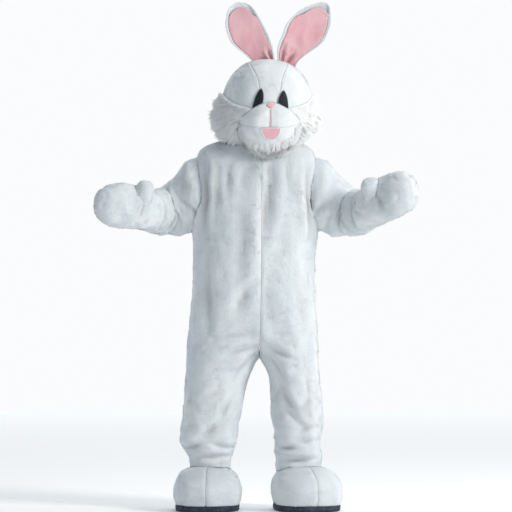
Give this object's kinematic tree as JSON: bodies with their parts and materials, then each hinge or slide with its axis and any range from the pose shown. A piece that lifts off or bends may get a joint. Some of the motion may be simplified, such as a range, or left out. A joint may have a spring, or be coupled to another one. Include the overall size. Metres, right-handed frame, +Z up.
{
  "type": "rabbit mascot costume",
  "caption": "Full-body white plush rabbit costume with round head, upright pink-lined ears, jumpsuit, mittens and boots, standing as worn.",
  "frame": {"origin": "between the wearer's shoulders, 1.504 m above the soles", "axes": "+Z up; the costume faces -Y; +X is on the viewer's right"},
  "size_m": [1.3366, 0.5451, 2.122],
  "materials": {
    "white_plush": "matte plush",
    "white_shag": "matte long pile",
    "white_velour": "matte short pile",
    "pink_velour": "matte short pile",
    "dark_mesh": "matte mesh",
    "dark_sole_cloth": "matte"
  },
  "bodies": {
    "root": {"suit_front_left": "white_plush", "suit_front_right": "white_plush", "suit_back_left": "white_plush", "suit_back_right": "white_plush", "sleeve_left": "white_plush", "sleeve_right": "white_plush", "mitten_left_palm": "white_plush", "mitten_left_back": "white_plush", "mitten_left_thumb": "white_plush", "mitten_right_palm": "white_plush", "mitten_right_back": "white_plush", "mitten_right_thumb": "white_plush", "boot_left_outer": "white_plush", "boot_left_inner": "white_plush", "boot_right_outer": "white_plush", "boot_right_inner": "white_plush", "head_gusset": "white_plush", "head_crown_left": "white_plush", "head_crown_right": "white_plush", "ear_left_back": "white_plush", "ear_right_back": "white_plush", "head_cheek_left": "white_shag", "head_cheek_right": "white_shag", "muzzle_pad_left": "white_velour", "muzzle_pad_right": "white_velour", "muzzle_jaw": "white_velour", "nose": "pink_velour", "nose_strip": "pink_velour", "mouth": "pink_velour", "ear_left_front": "pink_velour", "ear_right_front": "pink_velour", "eye_left": "dark_mesh", "eye_right": "dark_mesh", "boot_left_sole": "dark_sole_cloth", "boot_right_sole": "dark_sole_cloth"}
  },
  "joints": []
}
